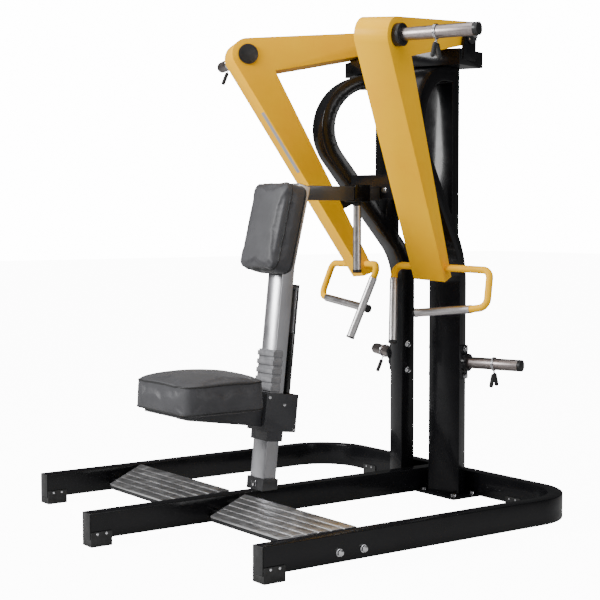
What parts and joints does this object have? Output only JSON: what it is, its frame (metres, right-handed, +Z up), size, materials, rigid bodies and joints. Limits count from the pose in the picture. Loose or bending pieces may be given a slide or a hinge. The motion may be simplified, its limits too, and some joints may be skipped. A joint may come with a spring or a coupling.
{
  "type": "plate-loaded rowing machine",
  "caption": "Plate-loaded seated rowing machine: two swinging arms with weight horns and grips hang from splayed uprights; chest pad, sliding seat and foot plates on a low frame.",
  "frame": {"origin": "middle of the footprint, on the floor", "axes": "+Z up; the user sits at the -Y side and faces +Y; +X is to the user's right"},
  "size_m": [1.7564, 1.8245, 2.0558],
  "materials": {
    "gloss_black": "gloss powder coat",
    "beam_grey": "satin paint",
    "silver_paint": "metallic silver paint",
    "carriage_grey": "satin dark grey paint",
    "boot_grey": "matt grey",
    "yellow_paint": "gloss yellow paint",
    "satin_steel": "satin chrome",
    "bright_steel": "bright plated",
    "cast_black": "painted black",
    "black_plastic": "matt moulded",
    "black_rubber": "matt",
    "tread_aluminium": "brushed, grooved",
    "label_grey": "plain grey strip",
    "strut_black": "black",
    "pad_leather": "charcoal upholstery"
  },
  "bodies": {
    "frame": {"outer_frame": "gloss_black", "middle_rail": "gloss_black", "end_caps": "black_plastic", "feet": "black_rubber", "foot_screws": "bright_steel", "rail_plugs": "black_plastic", "base_plates": "gloss_black", "frame_bolts": "bright_steel", "upright_right": "gloss_black", "upright_left": "gloss_black", "head_right": "gloss_black", "head_left": "gloss_black", "pivot_shafts": "satin_steel", "bearing_flanges": "cast_black", "bearing_bolts": "bright_steel", "cross_member": "gloss_black", "centre_beam": "beam_grey", "beam_sleeve": "gloss_black", "centre_grip": "satin_steel", "centre_grip_caps": "black_plastic", "bumpers": "black_rubber", "post": "silver_paint", "post_foot": "beam_grey", "guide_plate": "carriage_grey", "strut_rod": "bright_steel", "back_plate": "beam_grey", "chest_pad": "pad_leather", "storage_flanges": "gloss_black", "storage_horns": "satin_steel", "storage_caps": "black_plastic", "foot_rims": "gloss_black", "foot_bars": "gloss_black", "foot_legs": "gloss_black", "foot_treads": "tread_aluminium"},
    "arm_right": {"arm_right": "yellow_paint", "arm_horn_right": "satin_steel", "arm_caps_right": "black_plastic", "handle_right": "yellow_paint", "grips_right": "satin_steel"},
    "arm_left": {"arm_left": "yellow_paint", "arm_horn_left": "satin_steel", "arm_caps_left": "black_plastic", "handle_left": "yellow_paint", "grips_left": "satin_steel", "label_left": "label_grey"},
    "seat_carriage": {"carriage": "carriage_grey", "carriage_bolts": "bright_steel", "seat_bracket": "carriage_grey", "seat_plate": "beam_grey", "seat_pad": "pad_leather", "boot": "boot_grey", "strut_cylinder": "strut_black"},
    "clip_arm_right": {"clip_arm_right": "bright_steel", "clip_grips_arm_right": "black_rubber"},
    "clip_arm_left": {"clip_arm_left": "bright_steel", "clip_grips_arm_left": "black_rubber"},
    "clip_store_right": {"clip_store_right": "bright_steel", "clip_grips_store_right": "black_rubber"},
    "clip_store_left": {"clip_store_left": "bright_steel", "clip_grips_store_left": "black_rubber"}
  },
  "joints": [
    {"name": "arm_right_swing", "type": "hinge", "parent": "frame", "child": "arm_right", "pos_m": [0.28, 0.657, 2.004], "axis": [-0.9379, -0.3414, 0.061], "range_deg": [0, 45]},
    {"name": "arm_left_swing", "type": "hinge", "parent": "frame", "child": "arm_left", "pos_m": [-0.28, 0.657, 2.004], "axis": [-0.9379, 0.3414, -0.061], "range_deg": [0, 45]},
    {"name": "seat_height", "type": "slide", "parent": "frame", "child": "seat_carriage", "axis": [0, 0.1115, 0.9938], "range_m": [-0.12, 0.15]},
    {"name": "clip_arm_right_slide", "type": "slide", "parent": "arm_right", "child": "clip_arm_right", "axis": [0.9397, 0.342, 0], "range_m": [-0.13, 0.14]},
    {"name": "clip_arm_left_slide", "type": "slide", "parent": "arm_left", "child": "clip_arm_left", "axis": [-0.9397, 0.342, 0], "range_m": [-0.13, 0.14]},
    {"name": "clip_store_right_slide", "type": "slide", "parent": "frame", "child": "clip_store_right", "axis": [0.9397, 0.342, 0], "range_m": [-0.11, 0.11]},
    {"name": "clip_store_left_slide", "type": "slide", "parent": "frame", "child": "clip_store_left", "axis": [-0.9397, 0.342, 0], "range_m": [-0.11, 0.11]}
  ]
}
